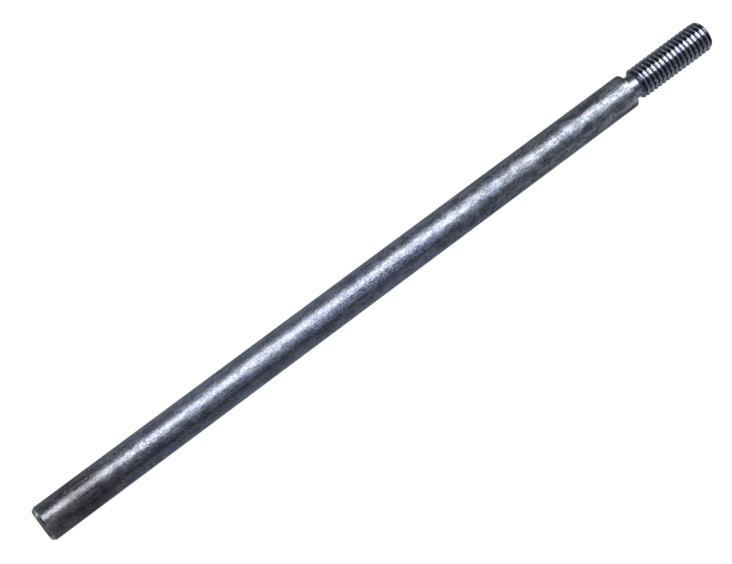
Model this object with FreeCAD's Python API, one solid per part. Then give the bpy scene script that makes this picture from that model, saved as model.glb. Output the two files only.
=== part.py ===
"""Driving shaft of a drill paint mixer: a plain round bar with a pressed-in threaded stud.

Frame: millimetres, +X along the shaft from the chuck end to the thread, +Z up.
Origin: centre of the flat end face that goes into the chuck.
"""

import FreeCAD, Part
import math
import os

# Bar
ROD_DIAMETER = 8.6
ROD_LENGTH = 166.0
CHUCK_CHAMFER_LENGTH = 0.9 # chamfer at the chuck end, along the axis
CHUCK_CHAMFER_DEPTH = 0.6  # and across it
RIM_BREAK = 0.25           # broken edge round the shoulder face

# Pressed joint between the bar and the stud
SPIGOT_DIAMETER = 5.8      # also the diameter of the neck
SPIGOT_DEPTH = 14.0        # length of the spigot inside the bar
BORE_RUN_OUT = 1.0         # air space between the spigot's end and the bore's full depth
SPIGOT_CHAMFER = 0.5
DRILL_POINT_ANGLE = 118.0

# Neck and thread, M8 x 1.25, right hand
NECK_LENGTH = 2.4          # parallel part of the neck, from the shoulder face
NECK_RAMP = 0.55           # steep cone from the neck up to the thread's crest
STUD_PROJECTION = 23.8     # from the shoulder face to the stud's tip
THREAD_CREST = 7.7         # real diameter over the crests
PITCH_DIAMETER = 6.95      # real diameter at half the depth of the basic triangle
ROOT_DIAMETER = 6.2
PITCH = 1.25
THREAD_ANGLE = 60.0
GROOVE_OFFSET = 1.42       # the groove crosses the +Y side this far past the shoulder face
TIP_FLAT_DIAMETER = 6.5
TIP_CHAMFER = 0.7          # length of the tip's cone along the axis
TOOL_CLEARANCE = 0.1       # how far the thread tool stands out past the crests

# Where the pieces meet along the axis
SHOULDER_X = ROD_LENGTH
TIP_X = SHOULDER_X + STUD_PROJECTION
THREAD_START_X = SHOULDER_X + NECK_LENGTH + NECK_RAMP

# Thread profile, from the basic triangle of the metric thread
FLANK_SLOPE = math.tan(math.radians(THREAD_ANGLE / 2))
SHARP_ROOT_RADIUS = PITCH_DIAMETER / 2 - PITCH / (4 * FLANK_SLOPE)


def turned(outline):
    """Solid of revolution about X from (x, radius) points; the outline closes along the axis."""
    points = [FreeCAD.Vector(x, 0, radius) for x, radius in outline]
    edges = [Part.LineSegment(a, b).toShape() for a, b in zip(points, points[1:] + points[:1])]
    face = Part.Face(Part.Wire(edges))
    return face.revolve(FreeCAD.Vector(0, 0, 0), FreeCAD.Vector(1, 0, 0), 360)


def bore_outline():
    """Blind drilled hole, open at the shoulder face, with the drill's cone at its bottom."""
    radius = SPIGOT_DIAMETER / 2
    bottom_x = SHOULDER_X - SPIGOT_DEPTH - BORE_RUN_OUT
    point_length = radius / math.tan(math.radians(DRILL_POINT_ANGLE / 2))
    mouth_x = SHOULDER_X + 1
    return [(bottom_x - point_length, 0), (bottom_x, radius), (mouth_x, radius), (mouth_x, 0)]


def shaft_rod():
    """The plain bar: chamfer at the chuck end, square shoulder with a broken rim, blind bore."""
    radius = ROD_DIAMETER / 2
    bar = turned(
        [
            (0, 0),
            (0, radius - CHUCK_CHAMFER_DEPTH),
            (CHUCK_CHAMFER_LENGTH, radius),
            (SHOULDER_X - RIM_BREAK, radius),
            (SHOULDER_X, radius - RIM_BREAK),
            (SHOULDER_X, 0),
        ]
    )
    return bar.cut(turned(bore_outline()))


def thread_groove():
    """The 60 degree groove that cuts the thread, from round the neck to past the tip."""
    start_x = SHOULDER_X + GROOVE_OFFSET
    length = TIP_X + 2 * PITCH - start_x
    outer_radius = THREAD_CREST / 2 + TOOL_CLEARANCE
    root_radius = ROOT_DIAMETER / 2
    helix = Part.makeLongHelix(PITCH, length, outer_radius, 0, False)
    corners = []
    for radius, side in ((outer_radius, -1), (root_radius, -1), (root_radius, 1), (outer_radius, 1)):
        half_width = (radius - SHARP_ROOT_RADIUS) * FLANK_SLOPE
        corners.append(FreeCAD.Vector(radius, 0, side * half_width))
    profile = Part.makePolygon(corners + corners[:1])
    groove = Part.Wire(helix.Edges).makePipeShell([profile], True, True)
    groove.rotate(FreeCAD.Vector(0, 0, 0), FreeCAD.Vector(0, 1, 0), 90)
    groove.rotate(FreeCAD.Vector(0, 0, 0), FreeCAD.Vector(1, 0, 0), 90)
    groove.translate(FreeCAD.Vector(start_x, 0, 0))
    return groove


def threaded_stud():
    """Pressed-in spigot, smooth neck and cut right-hand thread with a chamfered tip."""
    neck_radius = SPIGOT_DIAMETER / 2
    crest_radius = THREAD_CREST / 2
    inner_x = SHOULDER_X - SPIGOT_DEPTH
    blank = turned(
        [
            (inner_x, 0),
            (inner_x, neck_radius - SPIGOT_CHAMFER),
            (inner_x + SPIGOT_CHAMFER, neck_radius),
            (SHOULDER_X + NECK_LENGTH, neck_radius),
            (THREAD_START_X, crest_radius),
            (TIP_X - TIP_CHAMFER, crest_radius),
            (TIP_X, TIP_FLAT_DIAMETER / 2),
            (TIP_X, 0),
        ]
    )
    return blank.cut(thread_groove())


def main():
    """Build each piece, check that it is one valid solid and write its STEP file."""
    os.makedirs("parts", exist_ok=True)
    for node, shape in (("shaft_rod", shaft_rod()), ("threaded_stud", threaded_stud())):
        solid = shape.Solids[0]
        solid.exportStep(f"parts/{node}.step")
        print(node, len(shape.Solids), "solid", solid.isValid(), round(solid.Volume, 2), "mm3")


main()
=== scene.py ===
"""Looks of the drill paint mixer's driving shaft: a dull mottled bar with a bright threaded stud.

Metres, in the part's own frame: +X along the shaft from the chuck end to the thread, +Z up,
origin at the centre of the chuck end's face. The shaft lies on the floor.
"""

import functools
import logging
import math
from dataclasses import dataclass
from enum import Enum
from typing import Any

import bmesh
import bpy
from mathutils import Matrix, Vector


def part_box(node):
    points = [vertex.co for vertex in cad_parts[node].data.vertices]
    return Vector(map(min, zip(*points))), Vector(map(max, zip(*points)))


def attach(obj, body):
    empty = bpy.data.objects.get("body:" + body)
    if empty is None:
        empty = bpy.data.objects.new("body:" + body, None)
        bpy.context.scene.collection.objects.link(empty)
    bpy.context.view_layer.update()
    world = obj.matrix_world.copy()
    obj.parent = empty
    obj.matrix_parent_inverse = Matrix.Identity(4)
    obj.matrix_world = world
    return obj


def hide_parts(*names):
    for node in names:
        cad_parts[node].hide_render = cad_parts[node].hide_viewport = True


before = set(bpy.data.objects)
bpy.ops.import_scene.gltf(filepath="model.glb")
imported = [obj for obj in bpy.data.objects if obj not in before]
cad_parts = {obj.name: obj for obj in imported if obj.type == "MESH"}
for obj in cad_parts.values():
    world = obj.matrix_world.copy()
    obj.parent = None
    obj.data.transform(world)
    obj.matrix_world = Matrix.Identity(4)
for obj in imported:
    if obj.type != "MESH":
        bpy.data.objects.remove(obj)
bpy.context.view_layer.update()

LOG = logging.getLogger("shaft")
BODY = "root"
MM = 0.001
ON_AXIS = 1e-9  # a ring smaller than this is one point
Colour = tuple[float, float, float]
Edge = tuple[float, float]  # a soft mask rises from 0 at the first value to 1 at the second
Outline = list[tuple[float, float]]


class Slot(Enum):
    """Material slots of the record."""

    DULL_STEEL = "dull_steel"
    BRIGHT_STEEL = "bright_steel"


class Signal:
    """One output socket, with arithmetic that adds Math nodes."""

    def __init__(self, bench: "Bench", socket: Any) -> None:
        """Keeps the bench that adds nodes and the socket that carries the value."""
        self.bench = bench
        self.socket = socket

    def __add__(self, other: Any) -> "Signal":
        """self + other."""
        return self.bench.math("ADD", self, other)

    def __radd__(self, other: Any) -> "Signal":
        """other + self."""
        return self.bench.math("ADD", other, self)

    def __sub__(self, other: Any) -> "Signal":
        """self - other."""
        return self.bench.math("SUBTRACT", self, other)

    def __rsub__(self, other: Any) -> "Signal":
        """other - self."""
        return self.bench.math("SUBTRACT", other, self)

    def __mul__(self, other: Any) -> "Signal":
        """self * other."""
        return self.bench.math("MULTIPLY", self, other)

    def __rmul__(self, other: Any) -> "Signal":
        """other * self."""
        return self.bench.math("MULTIPLY", other, self)

    def __truediv__(self, other: Any) -> "Signal":
        """self / other."""
        return self.bench.math("DIVIDE", self, other)

    def __rtruediv__(self, other: Any) -> "Signal":
        """other / self."""
        return self.bench.math("DIVIDE", other, self)


class Bench:
    """Adds nodes to one tree, a material's, the world's or a geometry tree's."""

    def __init__(self, tree: bpy.types.NodeTree) -> None:
        """Starts from an empty tree."""
        self.tree = tree
        tree.nodes.clear()

    def node(self, kind: str, settings: dict[str, Any] | None = None,
             inputs: dict[Any, Any] | None = None) -> bpy.types.Node:
        """Adds one node.

        Args:
            kind: the node's type name.
            settings: its properties, which are set first.
            inputs: values, or signals to link, by the input socket's name or number.

        Returns:
            The new node.
        """
        made = self.tree.nodes.new(kind)
        for name, value in (settings or {}).items():
            setattr(made, name, value)
        for key, value in (inputs or {}).items():
            if isinstance(value, Signal):
                self.tree.links.new(value.socket, made.inputs[key])
            else:
                made.inputs[key].default_value = value
        return made

    def out(self, kind: str, socket: Any = 0, settings: dict[str, Any] | None = None,
            inputs: dict[Any, Any] | None = None) -> Signal:
        """Adds one node and returns one of its outputs.

        Args:
            kind: the node's type name.
            socket: the output socket's name or number.
            settings: the node's properties.
            inputs: values or signals for its input sockets.

        Returns:
            The output as a signal.
        """
        return Signal(self, self.node(kind, settings, inputs).outputs[socket])

    def math(self, operation: str, *values: Any) -> Signal:
        """Adds one Math node on up to three values and returns its result."""
        return self.out("ShaderNodeMath", 0, {"operation": operation}, dict(enumerate(values)))

    def step(self, value: Any, low: float, high: float) -> Signal:
        """Smooth 0 to 1 as value goes from low to high."""
        return self.out(
            "ShaderNodeMapRange", 0, {"interpolation_type": "SMOOTHSTEP"},
            {"Value": value, "From Min": low, "From Max": high},
        )

    def band(self, value: Any, rise: Edge, fall: Edge) -> Signal:
        """Smooth 0 to 1 over rise, and back to 0 over fall."""
        return self.step(value, *rise) * (1.0 - self.step(value, *fall))

    def lowest(self, *values: Any) -> Signal:
        """The lowest of the values."""
        return functools.reduce(functools.partial(self.math, "MINIMUM"), values)

    def highest(self, *values: Any) -> Signal:
        """The highest of the values."""
        return functools.reduce(functools.partial(self.math, "MAXIMUM"), values)

    def blend(self, factor: Any, first: Any, second: Any) -> Signal:
        """Colour between first and second by factor."""
        inputs = {0: factor, 6: self.solid(first), 7: self.solid(second)}
        return self.out("ShaderNodeMix", 2, {"data_type": "RGBA"}, inputs)

    def tinted(self, colour: Signal, amount: Any, tint: Colour) -> Signal:
        """Colour multiplied by a tint, as far as amount says."""
        inputs = {0: amount, 6: colour, 7: self.solid(tint)}
        return self.out("ShaderNodeMix", 2, {"data_type": "RGBA", "blend_type": "MULTIPLY"}, inputs)

    @staticmethod
    def solid(colour: Any) -> Any:
        """A colour with full alpha, or the signal as it is."""
        return colour if isinstance(colour, Signal) else (*colour, 1.0)


class Surface:
    """Coordinates and noises that every metal finish of the shaft is drawn with."""

    def __init__(self, bench: Bench) -> None:
        """Reads the object's own coordinates once."""
        self.bench = bench
        self.place = bench.out("ShaderNodeTexCoord", "Object")
        axes = bench.node("ShaderNodeSeparateXYZ", None, {0: self.place})
        self.x, self.y, self.z = (Signal(bench, axes.outputs[i]) for i in range(3))

    def radius(self) -> Signal:
        """Distance from the shaft's axis."""
        across = self.y * self.y + self.z * self.z
        return self.bench.math("SQRT", across)

    def upper_side(self) -> Signal:
        """1 on the shaft's upper side and 0 on its lower side."""
        return self.bench.step(self.z, 0.0, 1.0 * MM)

    def noise(self, size: float, along: float = 1.0, detail: float = 3.0,
              roughness: float = 0.55, shift: float = 0.0) -> Signal:
        """Cloudy noise from 0 to 1.

        Args:
            size: width of one cloud across the shaft, in metres.
            along: how many times longer a cloud is along the shaft.
            detail: number of finer layers.
            roughness: strength of the finer layers.
            shift: offset, in metres, that gives a different pattern of the same kind.

        Returns:
            The noise's value.
        """
        stretched = self.bench.out(
            "ShaderNodeMapping", 0, None,
            {"Vector": self.place, "Location": (shift, shift, shift), "Scale": (1.0 / along, 1.0, 1.0)},
        )
        return self.bench.out(
            "ShaderNodeTexNoise", "Fac", {"noise_dimensions": "3D"},
            {"Vector": stretched, "Scale": 1.0 / size, "Detail": detail, "Roughness": roughness},
        )

    def finish(self, name: str, colour: Signal, roughness: Signal, height: Signal,
               metallic: float) -> None:
        """Joins colour, roughness and relief in a metal shader at the tree's output.

        Args:
            name: label of the shader node.
            colour: base colour.
            roughness: roughness.
            height: relief, in metres.
            metallic: share of the surface that is bare metal.
        """
        bench = self.bench
        relief = {"Strength": 1.0, "Distance": 1.0, "Height": height}
        normal = bench.out("ShaderNodeBump", 0, None, relief)
        shader = bench.out(
            "ShaderNodeBsdfPrincipled", 0, {"label": name},
            {"Base Color": colour, "Metallic": metallic, "Roughness": roughness, "Normal": normal},
        )
        bench.node("ShaderNodeOutputMaterial", None, {"Surface": shader})


def new_material(name: str) -> tuple[bpy.types.Material, Bench]:
    """An empty node material and the bench that fills it.

    Args:
        name: the material's name.

    Returns:
        The material and its bench.
    """
    material = bpy.data.materials.new(name)
    material.use_nodes = True
    return material, Bench(material.node_tree)


@dataclass(frozen=True)
class DrawnBarFinish:
    """Dull drawn bar: finely mottled, pitted in the middle, gripped and browner near the chuck end and
    darker there, partly as painted shade, with a painted dark reflection along the top of the chamfer.
    """

    dark: Colour = (0.22, 0.25, 0.33)
    light: Colour = (0.65, 0.70, 0.84)
    pit: Colour = (0.09, 0.10, 0.20)
    fleck: Colour = (0.92, 0.93, 0.98)
    faced: Colour = (0.78, 0.79, 0.80)
    # painted dark reflection laid along the top of the chamfer
    chamfer_dark_reflection: Colour = (0.05, 0.05, 0.06)
    warm_tint: Colour = (1.03, 0.97, 1.0)
    cool_tint: Colour = (0.94, 0.98, 1.04)
    # brown tint near the chuck end; its darkening is partly painted shade
    chuck_tint_and_shade: Colour = (0.84, 0.79, 0.70)
    gripped_tint: Colour = (0.67, 0.64, 0.66)
    shoulder_tint: Colour = (0.90, 0.90, 0.84)
    grain_size: float = 0.40 * MM
    speck_size: float = 0.42 * MM
    mottle_size: float = 1.5 * MM
    hue_size: float = 2.2 * MM
    worn_size: float = 5 * MM
    cloud_size: float = 11 * MM
    streak_width: float = 0.3 * MM
    grain_height: float = 0.026 * MM
    mottle_height: float = 0.040 * MM
    cloud_height: float = 0.16 * MM
    streak_height: float = 0.008 * MM
    scratch_depth: float = 0.010 * MM
    metallic: float = 0.93
    tone_edge: Edge = (0.38, 0.62)
    pit_edge: Edge = (0.54, 0.62)
    pitted_cloud: Edge = (0.50, 0.60)
    corroded_edge: Edge = (0.46, 0.56)
    fleck_edge: Edge = (0.34, 0.46)
    worn_edge: Edge = (0.45, 0.60)
    warm_edge: Edge = (0.54, 0.66)
    cool_edge: Edge = (0.34, 0.46)
    chuck_end: Edge = (10 * MM, 34 * MM)
    gripped_start: Edge = (5 * MM, 8 * MM)
    gripped_end: Edge = (12 * MM, 17 * MM)
    shoulder_end: Edge = (100 * MM, 135 * MM)
    faced_end: Edge = (0.85 * MM, 1.0 * MM)
    border_drift: float = 12 * MM
    shoulder_contrast: float = 0.9

    def material(self) -> bpy.types.Material:
        """Builds the material."""
        material, bench = new_material("drawn_bar")
        surface = Surface(bench)
        grain = surface.noise(self.grain_size, along=1.5, detail=3.0, roughness=0.65)
        specks = surface.noise(self.speck_size, along=1.6, detail=4.0, roughness=0.75, shift=2.9)
        mottle = surface.noise(self.mottle_size, along=1.8, detail=4.0, roughness=0.65, shift=0.3)
        cloud = surface.noise(self.cloud_size, along=2.2, detail=2.0, shift=0.7)
        streak = surface.noise(self.streak_width, along=40.0, detail=2.0, shift=1.1)
        scratch = self.scratches(bench, surface)
        pits = bench.highest(
            bench.step(specks, *self.pit_edge) * bench.step(cloud, *self.pitted_cloud),
            bench.step(specks, *self.corroded_edge) * self.corroded(bench, surface),
        )
        worn = surface.noise(self.worn_size, along=2.5, detail=2.0, shift=4.1)
        flecks = (1.0 - bench.step(specks, *self.fleck_edge)) * bench.step(worn, *self.worn_edge)

        place = surface.x + self.border_drift * (cloud - 0.5)
        near_shoulder = bench.step(place, *self.shoulder_end)
        tone = 0.36 * grain + 0.34 * mottle + 0.14 * streak + 0.16 * (1.0 - specks)
        tone = (tone - 0.5) * (1.0 + self.shoulder_contrast * near_shoulder) + 0.5
        colour = bench.blend(bench.step(tone, *self.tone_edge), self.dark, self.light)
        colour = bench.blend(0.75 * pits, colour, self.pit)
        colour = bench.blend(0.65 * flecks, colour, self.fleck)
        colour = self.stained_and_shaded(bench, surface, colour, place)
        colour = bench.tinted(colour, near_shoulder, self.shoulder_tint)
        colour = bench.blend(0.7 * scratch, colour, self.fleck)
        on_end = 1.0 - bench.step(surface.x, *self.faced_end)
        colour = bench.blend(0.8 * on_end, colour, self.faced)
        # painted dark reflection along the top of the chamfer, on the upper side only
        colour = bench.blend(0.9 * self.painted_chamfer_reflection(bench, surface), colour, self.chamfer_dark_reflection)

        roughness = (0.22 + 0.08 * bench.step(mottle, 0.3, 0.7) + 0.06 * near_shoulder
                     + 0.05 * pits - 0.05 * flecks)
        height = (self.grain_height * grain + self.mottle_height * mottle + self.cloud_height * cloud
                  + self.streak_height * streak - self.scratch_depth * scratch)
        surface.finish("drawn bar", colour, roughness, height, self.metallic)
        return material

    def stained_and_shaded(self, bench: Bench, surface: Surface, colour: Signal, place: Signal) -> Signal:
        """Tints the colour warm and cool in small patches, and brown and dark near the chuck end; that
        darkening is partly painted shade.

        Args:
            bench: the material's bench.
            surface: the surface's coordinates.
            colour: the colour so far.
            place: distance from the chuck end, with an uneven border.

        Returns:
            The tinted colour.
        """
        hue = surface.noise(self.hue_size, along=1.6, detail=2.0, shift=3.7)
        colour = bench.tinted(colour, bench.step(hue, *self.warm_edge), self.warm_tint)
        colour = bench.tinted(colour, 1.0 - bench.step(hue, *self.cool_edge), self.cool_tint)
        # browner and darker towards the chuck end: a brown tint, partly painted shade
        colour = bench.tinted(colour, 1.0 - bench.step(place, *self.chuck_end), self.chuck_tint_and_shade)
        gripped = bench.band(place, self.gripped_start, self.gripped_end)
        return bench.tinted(colour, gripped, self.gripped_tint)

    @staticmethod
    def corroded(bench: Bench, surface: Surface) -> Signal:
        """Patch of blue-black pitting along the front of the bar's middle, 1 in it and 0 off it."""
        along = bench.band(surface.x, (74 * MM, 84 * MM), (98 * MM, 110 * MM))
        side = bench.band(surface.y, (-3.0 * MM, -2.2 * MM), (-1.3 * MM, -0.6 * MM))
        return along * side * surface.upper_side()

    @staticmethod
    def painted_chamfer_reflection(bench: Bench, surface: Surface) -> Signal:
        """Painted dark reflection: a dark streak along the top of the chamfer, 1 in it and 0 off it."""
        along = bench.band(surface.x, (0.62 * MM, 0.77 * MM), (1.00 * MM, 1.15 * MM))
        side = bench.band(surface.y, (-1.9 * MM, -0.9 * MM), (0.5 * MM, 0.8 * MM))
        return along * side * surface.upper_side()

    @staticmethod
    def scratches(bench: Bench, surface: Surface) -> Signal:
        """Sparse wispy scratches that run nearly along the bar, 1 on a scratch and 0 off it."""
        drift = surface.noise(2.2 * MM, along=7.0, detail=1.0, shift=1.7)
        line = 1.0 - bench.step(bench.math("ABSOLUTE", drift - 0.5), 0.0, 0.014)
        patch = bench.step(surface.noise(6 * MM, along=1.5, detail=1.0, shift=2.3), 0.52, 0.62)
        return line * patch


@dataclass(frozen=True)
class CutThreadFinish:
    """Bright cut steel of the stud, with painted shade in the thread's roots and on its lower flanks, and
    a duller neck.
    """

    dark: Colour = (0.62, 0.66, 0.76)
    light: Colour = (0.92, 0.95, 1.0)
    # painted shade in the thread's roots
    root_shade: Colour = (0.08, 0.08, 0.13)
    root_shade_edge: Edge = (3.10 * MM, 3.35 * MM)
    # painted shade: darkens the lower part of each flank
    flank: Colour = (0.42, 0.43, 0.49)
    flank_shade_edge: Edge = (3.40 * MM, 3.70 * MM)
    neck: Colour = (0.66, 0.64, 0.80)
    neck_end: Edge = (2.5 * MM, 2.7 * MM)
    tone_edge: Edge = (0.38, 0.62)
    grain_size: float = 0.35 * MM
    blotch_size: float = 1.5 * MM
    relief: float = 0.008 * MM
    shoulder_x: float = 0.0

    def material(self) -> bpy.types.Material:
        """Builds the material."""
        material, bench = new_material("cut_thread")
        surface = Surface(bench)
        grain = surface.noise(self.grain_size, along=0.6, detail=3.0)
        blotch = surface.noise(self.blotch_size, detail=2.0, shift=0.9)
        tone = bench.step(0.5 * grain + 0.5 * blotch, *self.tone_edge)
        colour = bench.blend(tone, self.dark, self.light)
        past_neck = bench.step(surface.x - self.shoulder_x, *self.neck_end)
        # painted shade in the roots, darkest at the smallest radius; the roots are also rougher
        root_shade = past_neck * (1.0 - bench.step(surface.radius(), *self.root_shade_edge))
        # painted shade on the lower flanks
        flank = past_neck * (1.0 - bench.step(surface.radius(), *self.flank_shade_edge))
        colour = bench.tinted(colour, flank, self.flank)
        colour = bench.blend(0.9 * root_shade, colour, self.root_shade)
        colour = bench.tinted(colour, 1.0 - past_neck, self.neck)
        roughness = 0.07 + 0.08 * grain + 0.1 * root_shade + 0.16 * (1.0 - past_neck)
        surface.finish("cut thread", colour, roughness, self.relief * (grain + 2.0 * blotch), 1.0)
        return material


@dataclass(frozen=True)
class FloorFinish:
    """Plain pale table top that glows a little, as a lit sweep does."""

    colour: Colour = (0.12, 0.12, 0.12)
    glow: float = 0.97

    def material(self) -> bpy.types.Material:
        """Builds the material."""
        material, bench = new_material("floor")
        shader = bench.out(
            "ShaderNodeBsdfPrincipled", 0, None,
            {"Base Color": (*self.colour, 1.0), "Roughness": 0.9, "Specular IOR Level": 0.0,
             "Emission Color": (1.0, 1.0, 1.0, 1.0), "Emission Strength": self.glow},
        )
        bench.node("ShaderNodeOutputMaterial", None, {"Surface": shader})
        return material


def arc(centre: tuple[float, float], radius: float, start: float, end: float, steps: int) -> Outline:
    """Points on an arc of an outline.

    Args:
        centre: the arc's centre, as (x, distance from the axis).
        radius: the arc's radius.
        start: angle of the first point from +X, in degrees.
        end: angle of the last point.
        steps: number of chords.

    Returns:
        The points from start to end.
    """
    turns = (math.radians(start + (end - start) * i / steps) for i in range(steps + 1))
    return [(centre[0] + radius * math.cos(t), centre[1] + radius * math.sin(t)) for t in turns]


def turned_mesh(name: str, outline: Outline, steps: int) -> bpy.types.Mesh:
    """Turns an outline about the X axis into a closed mesh.

    Args:
        name: the mesh's name.
        outline: (x, distance from the axis) points, whose first and last lie on the axis.
        steps: number of points round each ring.

    Returns:
        The closed mesh, with its faces pointing outwards.
    """
    shape = bmesh.new()
    rings = []
    for x, radius in outline:
        if radius < ON_AXIS:
            rings.append([shape.verts.new((x, 0.0, 0.0))])
            continue
        turns = (2 * math.pi * i / steps for i in range(steps))
        rings.append([shape.verts.new((x, radius * math.cos(t), radius * math.sin(t))) for t in turns])
    for first, second in zip(rings, rings[1:]):
        for i in range(steps):
            j = (i + 1) % steps
            corners = [first[i % len(first)], first[j % len(first)],
                       second[j % len(second)], second[i % len(second)]]
            shape.faces.new(list(dict.fromkeys(corners)))
    bmesh.ops.recalc_face_normals(shape, faces=shape.faces)
    mesh = bpy.data.meshes.new(name)
    shape.to_mesh(mesh)
    shape.free()
    return mesh


def place_piece(name: str, mesh: bpy.types.Mesh, node: str,
                material: bpy.types.Material, crease: float) -> bpy.types.Object:
    """Puts a finished mesh in the scene as a piece of the shaft.

    Args:
        name: the piece's name.
        mesh: its mesh, in the part's frame.
        node: the CAD node that it stands for.
        material: its finish.
        crease: angle in degrees above which an edge stays sharp.

    Returns:
        The piece.
    """
    mesh.materials.clear()
    mesh.materials.append(material)
    mesh.shade_smooth()
    mesh.set_sharp_from_angle(angle=math.radians(crease))
    piece = bpy.data.objects.new(name, mesh)
    bpy.context.scene.collection.objects.link(piece)
    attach(piece, BODY)
    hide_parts(node)
    LOG.info("%s: %d faces, stands for %s", name, len(mesh.polygons), node)
    return piece


@dataclass
class ShaftRod:
    """The plain bar, with a chamfered chuck end and a square shoulder round the stud."""

    start_x: float
    shoulder_x: float
    radius: float
    chamfer_length: float = 0.9 * MM
    chamfer_depth: float = 0.6 * MM
    chamfer_blend: float = 0.12 * MM
    rim_round: float = 0.25 * MM
    bore_radius: float = 2.9 * MM
    bore_depth: float = 15.0 * MM
    facing_pitch: float = 0.16 * MM
    facing_depth: float = 0.005 * MM
    facing_pip: float = 0.35 * MM
    drill_point: float = 0.6  # length of the bore's end cone, in bore radii
    crease: float = 30.0
    steps_round: int = 192
    body_rings: int = 48
    rim_steps: int = 5

    def facing(self, x: float, inner: float, outer: float, side: float) -> Outline:
        """Fine lathe rings on a flat end, from the inner to the outer radius.

        Args:
            x: place of the face along the shaft.
            inner: radius of the first ring.
            outer: radius of the last ring.
            side: +1 or -1, the way that the face looks along X.

        Returns:
            The outline's points, cut inwards from the face.
        """
        count = max(2, round((outer - inner) / self.facing_pitch))
        points = []
        for i in range(count + 1):
            depth = self.facing_depth if i % 2 else 0.0
            points.append((x - side * depth, inner + (outer - inner) * i / count))
        return points

    def outline(self) -> Outline:
        """The bar's half section, from the chuck end over the outside and into the bore."""
        blend = self.chamfer_blend
        face_radius = self.radius - self.chamfer_depth
        chamfer_x = self.start_x + self.chamfer_length
        points: Outline = [(self.start_x, 0.0)]
        points += self.facing(self.start_x, self.facing_pip, face_radius - blend, -1.0)
        points += [
            (self.start_x + 0.3 * blend, face_radius + 0.2 * blend),
            (chamfer_x - 0.3 * blend, self.radius - 0.2 * blend),
        ]
        first = chamfer_x + 0.5 * blend
        last = self.shoulder_x - self.rim_round
        spacing = (last - first) / self.body_rings
        points += [(first + spacing * i, self.radius) for i in range(self.body_rings)]
        inside_rim = self.radius - self.rim_round
        points += arc((last, inside_rim), self.rim_round, 90.0, 0.0, self.rim_steps)
        shoulder = self.facing(self.shoulder_x, self.bore_radius, inside_rim, 1.0)
        points += shoulder[-2::-1]
        bottom_x = self.shoulder_x - self.bore_depth
        points.append((bottom_x, self.bore_radius))
        points.append((bottom_x - self.drill_point * self.bore_radius, 0.0))
        return points

    def build(self, finish: DrawnBarFinish) -> bpy.types.Object:
        """Makes the bar and dresses it."""
        mesh = turned_mesh("bar", self.outline(), self.steps_round)
        return place_piece("bar", mesh, "shaft_rod", finish.material(),
                           self.crease)


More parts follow.
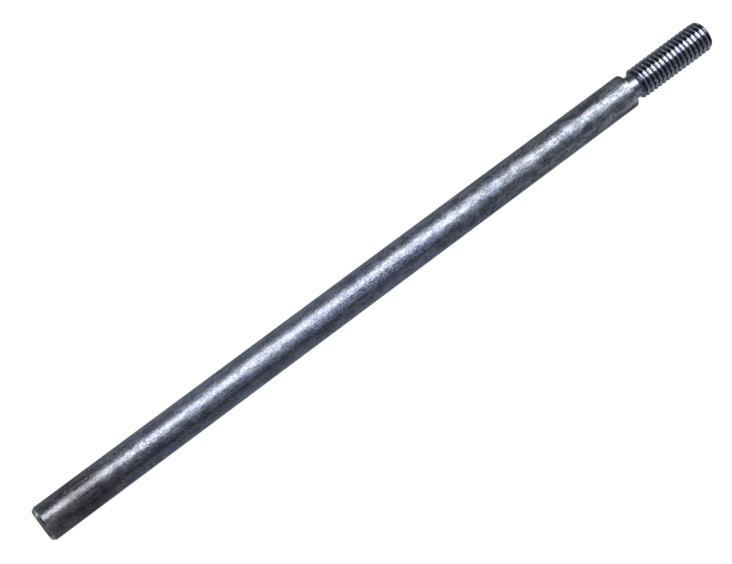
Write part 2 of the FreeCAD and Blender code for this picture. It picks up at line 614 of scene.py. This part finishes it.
@dataclass
class ThreadedStud:
    """The stud: spigot inside the bar, smooth neck and right-hand 60 degree thread."""

    shoulder_x: float
    tip_x: float
    inner_x: float
    crest_radius: float = 3.85 * MM
    neck_radius: float = 2.9 * MM
    neck_length: float = 2.4 * MM
    ramp_length: float = 0.55 * MM
    pitch: float = 1.25 * MM
    pitch_radius: float = 3.475 * MM
    root_radius: float = 3.1 * MM
    groove_offset: float = 1.42 * MM
    tip_radius: float = 3.25 * MM
    tip_chamfer: float = 0.7 * MM
    spigot_chamfer: float = 0.5 * MM
    half_angle: float = 30.0
    lead_in: int = 2  # turns of strip before the groove's first full turn
    weld: float = 0.002 * MM
    crease: float = 35.0
    steps_round: int = 96
    steps_across: int = 22

    def flank_slope(self) -> float:
        """How far a flank goes along the shaft for each metre outwards."""
        return math.tan(math.radians(self.half_angle))

    def sizes(self) -> dict[str, float]:
        """The thread tree's named inputs and their values."""
        half_height = self.pitch / (4 * self.flank_slope())
        return {
            "Pitch": self.pitch,
            "Crest Radius": self.crest_radius,
            "Root Radius": self.root_radius,
            "Sharp Root Radius": self.pitch_radius - half_height,
            "Neck Radius": self.neck_radius,
            "Start": self.shoulder_x,
            "Groove Offset": self.groove_offset,
            "Ramp Start": self.shoulder_x + self.neck_length,
            "Ramp Slope": (self.crest_radius - self.neck_radius) / self.ramp_length,
            "Tip": self.tip_x,
            "Tip Radius": self.tip_radius,
            "Tip Slope": (self.crest_radius - self.tip_radius) / self.tip_chamfer,
            "Inner End": self.inner_x,
        }

    def tree(self, material: bpy.types.Material) -> tuple[bpy.types.NodeTree, dict[str, str]]:
        """Builds the geometry tree that winds the thread.

        Args:
            material: the stud's finish.

        Returns:
            The tree, and each input socket's identifier by its name.
        """
        tree = bpy.data.node_groups.new("wind_thread", "GeometryNodeTree")
        sockets = {}
        for name in self.sizes():
            made = tree.interface.new_socket(name, in_out="INPUT", socket_type="NodeSocketFloat")
            sockets[name] = made.identifier
        tree.interface.new_socket("Geometry", in_out="OUTPUT", socket_type="NodeSocketGeometry")
        bench = Bench(tree)
        group = bench.node("NodeGroupInput")
        size = {name: Signal(bench, group.outputs[name]) for name in self.sizes()}

        joined = bench.node("GeometryNodeJoinGeometry")
        for part in (self.strip(bench, size), self.spigot(bench, size), *self.ends(bench, size)):
            tree.links.new(part.socket, joined.inputs[0])
        welded = bench.out("GeometryNodeMergeByDistance", 0, None,
                           {"Geometry": Signal(bench, joined.outputs[0]), "Distance": self.weld})
        real = bench.out("GeometryNodeRealizeInstances", 0, None, {"Geometry": welded})
        dressed = bench.out("GeometryNodeSetMaterial", 0, None, {"Geometry": real, "Material": material})
        bench.node("NodeGroupOutput", None, {0: dressed})
        return tree, sockets

    @staticmethod
    def grid(bench: Bench, columns: int, rows: int) -> tuple[Signal, Signal, Signal]:
        """A flat grid, and its points' places from 0 to 1 over its columns and over its rows."""
        counts = {"Size X": 1.0, "Size Y": 1.0, "Vertices X": columns + 1, "Vertices Y": rows + 1}
        mesh = bench.out("GeometryNodeMeshGrid", "Mesh", None, counts)
        place = bench.node("ShaderNodeSeparateXYZ", None, {0: bench.out("GeometryNodeInputPosition")})
        return mesh, Signal(bench, place.outputs[0]) + 0.5, Signal(bench, place.outputs[1]) + 0.5

    def strip(self, bench: Bench, size: dict[str, Signal]) -> Signal:
        """Winds one long strip, a pitch wide, from before the shoulder to past the tip.

        Args:
            bench: the tree's bench.
            size: the tree's named inputs.

        Returns:
            The outside of the stud, cut off square at the shoulder and at the tip.
        """
        turns = math.ceil((self.tip_x - self.shoulder_x) / self.pitch) + self.lead_in
        mesh, column, across = self.grid(bench, turns * self.steps_round, self.steps_across)
        turn = column * float(turns)
        past_offset = turn + across - (self.lead_in + 0.5)
        x = size["Start"] + size["Groove Offset"] + size["Pitch"] * past_offset
        x = bench.lowest(bench.highest(x, size["Start"]), size["Tip"])
        return self.wrapped(bench, mesh, x, self.cut_radius(bench, size, x, turn), turn)

    def spigot(self, bench: Bench, size: dict[str, Signal]) -> Signal:
        """Wraps the plain chamfered spigot, of one short and one long row, inside the bar.

        Args:
            bench: the tree's bench.
            size: the tree's named inputs.

        Returns:
            The outside of the spigot.
        """
        mesh, turn, across = self.grid(bench, self.steps_round, 2)
        rise = 2.0 * self.spigot_chamfer * across
        past_chamfer = (2.0 * across - 1.0) * (size["Start"] - size["Inner End"])
        x = size["Inner End"] + bench.highest(rise, past_chamfer)
        radius = bench.lowest(size["Neck Radius"], size["Neck Radius"] - self.spigot_chamfer + rise)
        return self.wrapped(bench, mesh, x, radius, turn)

    def ends(self, bench: Bench, size: dict[str, Signal]) -> list[Signal]:
        """Closes the stud with a flat face at its tip and at its inner end.

        Args:
            bench: the tree's bench.
            size: the tree's named inputs.

        Returns:
            The two faces.
        """
        turn = bench.out("GeometryNodeInputIndex") / float(self.steps_round)
        faces = []
        for x, radius in (
            (size["Tip"], self.cut_radius(bench, size, size["Tip"], turn)),
            (size["Inner End"], size["Neck Radius"] - self.spigot_chamfer),
        ):
            disc = bench.out("GeometryNodeMeshCircle", 0, {"fill_type": "NGON"},
                             {"Vertices": self.steps_round})
            faces.append(self.wrapped(bench, disc, x, radius, turn))
        return faces

    def cut_radius(self, bench: Bench, size: dict[str, Signal], x: Signal, turn: Signal) -> Signal:
        """Distance of the cut surface from the axis.

        Args:
            bench: the tree's bench.
            size: the tree's named inputs.
            x: place along the shaft.
            turn: angle, in turns; whole turns make no difference.

        Returns:
            The radius, limited by the groove, the crest, the ramp and the tip's cone.
        """
        phase = (x - size["Start"] - size["Groove Offset"]) / size["Pitch"] - turn + 0.5
        from_root = bench.math("ABSOLUTE", bench.math("FRACT", phase) - 0.5) * size["Pitch"]
        flank = bench.highest(size["Sharp Root Radius"] + from_root / self.flank_slope(),
                              size["Root Radius"])
        ramp = size["Neck Radius"] + bench.highest(x - size["Ramp Start"], 0.0) * size["Ramp Slope"]
        tip = size["Tip Radius"] + (size["Tip"] - x) * size["Tip Slope"]
        return bench.lowest(flank, size["Crest Radius"], ramp, tip)

    @staticmethod
    def wrapped(bench: Bench, mesh: Signal, x: Signal, radius: Signal, turn: Signal) -> Signal:
        """Wraps a flat grid, or the points of a disc, round the axis.

        Args:
            bench: the tree's bench.
            mesh: the grid or the disc.
            x: place of each point along the shaft.
            radius: its distance from the axis.
            turn: its angle, in turns by the right-hand rule about +X.

        Returns:
            The wrapped mesh.
        """
        angle = turn * (2 * math.pi)
        around = bench.out(
            "ShaderNodeCombineXYZ", 0, None,
            {0: x, 1: radius * bench.math("COSINE", angle), 2: radius * bench.math("SINE", angle)},
        )
        return bench.out("GeometryNodeSetPosition", 0, None, {"Geometry": mesh, "Position": around})

    def wound_mesh(self, material: bpy.types.Material) -> bpy.types.Mesh:
        """Runs the thread tree and returns its plain mesh, welded and facing outwards."""
        holder = bpy.data.objects.new("thread_holder", bpy.data.meshes.new("thread_holder"))
        bpy.context.scene.collection.objects.link(holder)
        tree, sockets = self.tree(material)
        modifier = holder.modifiers.new("wind", "NODES")
        modifier.node_group = tree
        for name, value in self.sizes().items():
            modifier[sockets[name]] = value
        evaluated = holder.evaluated_get(bpy.context.evaluated_depsgraph_get())
        mesh = bpy.data.meshes.new_from_object(evaluated)
        bpy.data.objects.remove(holder)
        shape = bmesh.new()
        shape.from_mesh(mesh)
        bmesh.ops.dissolve_degenerate(shape, edges=shape.edges, dist=0.0001 * MM)
        bmesh.ops.recalc_face_normals(shape, faces=shape.faces)
        open_edges = sum(1 for edge in shape.edges if len(edge.link_faces) != 2)
        shape.to_mesh(mesh)
        shape.free()
        mesh.name = "stud"
        LOG.info("thread wound: %d faces, %d open edges", len(mesh.polygons), open_edges)
        return mesh

    def build(self, finish: CutThreadFinish) -> bpy.types.Object:
        """Makes the stud and dresses it."""
        material = finish.material()
        mesh = self.wound_mesh(material)
        return place_piece("stud", mesh, "threaded_stud", material, self.crease)


@dataclass
class Floor:
    """The flat floor that the shaft lies on."""

    height: float
    reach: float = 6.0

    def build(self, finish: FloorFinish) -> None:
        """Makes the floor. The shaft doesn't reflect it: the world's lower half stands in for it."""
        signs = ((-1, -1), (1, -1), (1, 1), (-1, 1))
        corners = [(x * self.reach, y * self.reach, self.height) for x, y in signs]
        mesh = bpy.data.meshes.new("floor")
        mesh.from_pydata(corners, [], [(0, 1, 2, 3)])
        mesh.materials.append(finish.material())
        floor = bpy.data.objects.new("floor", mesh)
        bpy.context.scene.collection.objects.link(floor)
        floor.visible_glossy = False
        floor.visible_diffuse = False


@dataclass(frozen=True)
class SoftBox:
    """A flat rectangular light above the shaft that faces straight down."""

    name: str
    x: tuple[float, float]
    y: tuple[float, float]
    radiance: float
    height: float = 0.80
    colour: Colour = (1.0, 1.0, 1.0)

    def build(self) -> None:
        """Makes the light, which spans x and y at its height."""
        light = bpy.data.lights.new(self.name, "AREA")
        light.shape = "RECTANGLE"
        light.size = self.x[1] - self.x[0]
        light.size_y = self.y[1] - self.y[0]
        light.energy = self.radiance * math.pi * light.size * light.size_y
        light.color = self.colour
        lamp = bpy.data.objects.new(self.name, light)
        lamp.location = (sum(self.x) / 2, sum(self.y) / 2, self.height)
        bpy.context.scene.collection.objects.link(lamp)


@dataclass(frozen=True)
class Glow:
    """A round bright patch of the room, seen in reflections only."""

    way: tuple[float, float, float]
    edge: Edge
    colour: Colour

    def over(self, bench: Bench, towards: list[Signal], room: Signal) -> Signal:
        """Lays the patch over the room's colour.

        Args:
            bench: the world tree's bench.
            towards: the three parts of the direction that is looked in.
            room: the colour so far.

        Returns:
            The colour with the patch.
        """
        share = towards[0] * self.way[0] + towards[1] * self.way[1] + towards[2] * self.way[2]
        return bench.blend(bench.step(share, *self.edge), room, self.colour)


class Way(Enum):
    """Ways that the metal can look, as the number of an axis and a sign."""

    ALONG = (0, 1.0)
    BACK = (0, -1.0)
    LEFT = (1, 1.0)
    RIGHT = (1, -1.0)
    UP = (2, 1.0)
    DOWN = (2, -1.0)


@dataclass(frozen=True)
class Region:
    """A soft-edged part of the room, seen in reflections only.

    A direction is inside where its share of each way has passed that way's edge. A second set
    of edges, where there is one, adds the directions inside them.
    """

    colour: Colour
    edges: dict[Way, Edge]
    more_edges: dict[Way, Edge] | None = None

    @staticmethod
    def inside(bench: Bench, towards: list[Signal], edges: dict[Way, Edge]) -> Signal:
        """1 inside one set of edges and 0 outside it."""
        return math.prod(
            bench.step(towards[way.value[0]] * way.value[1], *edge) for way, edge in edges.items()
        )

    def over(self, bench: Bench, towards: list[Signal], room: Signal) -> Signal:
        """Lays the region over the room's colour.

        Args:
            bench: the world tree's bench.
            towards: the three parts of the direction that is looked in.
            room: the colour so far.

        Returns:
            The colour with the region.
        """
        share = self.inside(bench, towards, self.edges)
        if self.more_edges:
            share = bench.highest(share, self.inside(bench, towards, self.more_edges))
        return bench.blend(share, room, self.colour)


@dataclass(frozen=True)
class Studio:
    """Room that is darker at the chuck end, a pale bench below, and the soft boxes."""

    dark_room: Colour = (0.016, 0.016, 0.018)
    pale_room: Colour = (0.028, 0.030, 0.038)
    pale_room_edge: Edge = (0.0, 0.12)
    room_tilt: float = 0.055
    near_bench: Colour = (0.12, 0.122, 0.13)
    far_bench: Colour = (0.19, 0.20, 0.22)
    far_bench_edge: Edge = (-0.15, 0.02)
    bench_tilt: float = 0.165
    horizon: Edge = (-0.05, 0.15)
    seen: Colour = (1.0, 1.0, 1.0)
    left_wall: Region = Region(
        (0.155, 0.165, 0.205),
        {Way.LEFT: (0.6, 0.95), Way.ALONG: (-0.04, 0.02), Way.BACK: (-0.36, -0.2)})
    right_wall: Region = Region(
        (0.11, 0.115, 0.135),
        {Way.RIGHT: (0.6, 0.9), Way.ALONG: (0.12, 0.3), Way.DOWN: (-0.45, -0.25)})
    open_room: Region = Region(
        (0.24, 0.25, 0.27), {Way.ALONG: (0.52, 0.64)}, {Way.BACK: (0.18, 0.32)})
    behind: Region = Region((0.09, 0.092, 0.10), {Way.BACK: (0.45, 0.6)})
    open_bench: Region = Region(
        (0.18, 0.185, 0.20),
        {Way.ALONG: (0.60, 0.70), Way.UP: (-0.5, -0.35)}, {Way.BACK: (0.18, 0.30)})
    low_behind: Region = Region((0.045, 0.046, 0.055), {Way.BACK: (0.50, 0.60)})
    right_bench: Region = Region(
        (0.11, 0.115, 0.135),
        {Way.RIGHT: (0.4, 0.7), Way.ALONG: (-0.02, 0.06), Way.UP: (-0.7, -0.4)})
    left_of_stud: Region = Region(
        (0.04, 0.04, 0.055), {Way.ALONG: (0.395, 0.425), Way.LEFT: (0.15, 0.45)})
    under_stud: Region = Region(
        (0.04, 0.04, 0.055), {Way.ALONG: (0.395, 0.425), Way.DOWN: (0.5, 0.75)})
    right_of_stud: Region = Region(
        (0.80, 0.82, 0.84), {Way.ALONG: (0.43, 0.46), Way.RIGHT: (0.55, 0.8)})
    under_behind: Region = Region(
        (0.28, 0.29, 0.32), {Way.BACK: (0.3, 0.4), Way.DOWN: (0.56, 0.68)})
    chamfer_glint: Glow = Glow((-0.609, 0.777, 0.159), (0.990, 0.996), (1.7, 2.2, 1.95))
    flank_glow: Glow = Glow((-0.925, 0.235, -0.297), (0.984, 0.994), (1.9, 1.9, 2.0))
    boxes: tuple[SoftBox, ...] = (
        SoftBox("key_end", (-0.40, 0.03), (0.03, 0.49), 1.95),
        SoftBox("key_chuck", (0.03, 0.10), (-0.03, 0.55), 1.85),
        SoftBox("key_middle", (0.10, 0.33), (-0.14, 0.51), 1.85),
        SoftBox("key_far", (0.33, 0.42), (-0.19, 0.43), 1.95),
        SoftBox("key_shoulder", (0.42, 0.535), (-0.20, 0.18), 2.0),
        SoftBox("key_stud", (0.535, 1.2), (-0.29, 0.47), 3.0),
        SoftBox("key_edge", (0.03, 0.50), (0.50, 1.10), 0.30),
        SoftBox("end_fill", (-0.40, 0.0), (-0.60, 0.03), 0.16),
        SoftBox("fill", (0.15, 0.45), (-0.56, -0.19), 0.62, colour=(0.88, 0.94, 1.15)),
        SoftBox("low_fill", (0.22, 0.52), (-1.3, -0.56), 0.27, colour=(0.85, 0.93, 1.15)),
    )

    def reflected(self, bench: Bench) -> Signal:
        """The room's colour by direction, as the metal reflects it.

        Args:
            bench: the world tree's bench.

        Returns:
            The colour.
        """
        way = bench.node("ShaderNodeSeparateXYZ", None, {0: bench.out("ShaderNodeTexCoord", "Generated")})
        towards = [Signal(bench, way.outputs[i]) for i in range(3)]
        along, left, up = towards
        pale = bench.step(along + self.room_tilt * left, *self.pale_room_edge)
        room = bench.blend(pale, self.dark_room, self.pale_room)
        for region in (self.left_wall, self.right_wall, self.open_room, self.behind):
            room = region.over(bench, towards, room)
        far = bench.step(along + self.bench_tilt * left, *self.far_bench_edge)
        table = bench.blend(far, self.near_bench, self.far_bench)
        for region in (self.open_bench, self.low_behind, self.right_bench, self.left_of_stud,
                       self.under_stud, self.right_of_stud, self.under_behind):
            table = region.over(bench, towards, table)
        colour = bench.blend(bench.step(up, *self.horizon), table, room)
        for glow in (self.chamfer_glint, self.flank_glow):
            colour = glow.over(bench, towards, colour)
        return colour

    def build(self) -> None:
        """Makes the world and the lights."""
        world = bpy.data.worlds.new("studio")
        world.use_nodes = True
        bpy.context.scene.world = world
        bench = Bench(world.node_tree)
        camera_ray = bench.out("ShaderNodeLightPath", "Is Camera Ray")
        colour = bench.blend(camera_ray, self.reflected(bench), self.seen)
        background = bench.out("ShaderNodeBackground", 0, None, {"Color": colour, "Strength": 1.0})
        bench.node("ShaderNodeOutputWorld", None, {"Surface": background})
        for box in self.boxes:
            box.build()


@dataclass(frozen=True)
class Viewpoint:
    """The camera, without roll, high above the shaft."""

    aim: tuple[float, float, float] = (0.08878, 0.00055, 0.0)
    heading: float = 38.204
    elevation: float = 70.715
    distance: float = 0.38218
    lens: float = 83.61

    def build(self) -> None:
        """Makes the camera and the plain view transform."""
        lens = bpy.data.cameras.new("camera")
        lens.lens = self.lens
        lens.sensor_width = 36.0
        lens.clip_start = 0.01
        lens.clip_end = 50.0
        flat = math.cos(math.radians(self.elevation))
        way = Vector((
            flat * math.sin(math.radians(self.heading)),
            flat * math.cos(math.radians(self.heading)),
            -math.sin(math.radians(self.elevation)),
        ))
        camera = bpy.data.objects.new("camera", lens)
        camera.location = Vector(self.aim) - way * self.distance
        camera.rotation_euler = way.to_track_quat("-Z", "Y").to_euler()
        bpy.context.scene.collection.objects.link(camera)
        bpy.context.scene.camera = camera
        bpy.context.scene.view_settings.view_transform = "Standard"


def main() -> None:
    """Builds the shaft, its floor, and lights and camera."""
    logging.basicConfig(level=logging.INFO, format="%(name)s: %(message)s")
    rod_low, rod_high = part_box("shaft_rod")
    stud_low, stud_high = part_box("threaded_stud")
    ShaftRod(rod_low.x, rod_high.x, rod_high.z).build(DrawnBarFinish())
    ThreadedStud(rod_high.x, stud_high.x, stud_low.x).build(CutThreadFinish(shoulder_x=rod_high.x))
    Floor(rod_low.z).build(FloorFinish())
    Studio().build()
    Viewpoint().build()


if __name__ == "__main__":
    main()
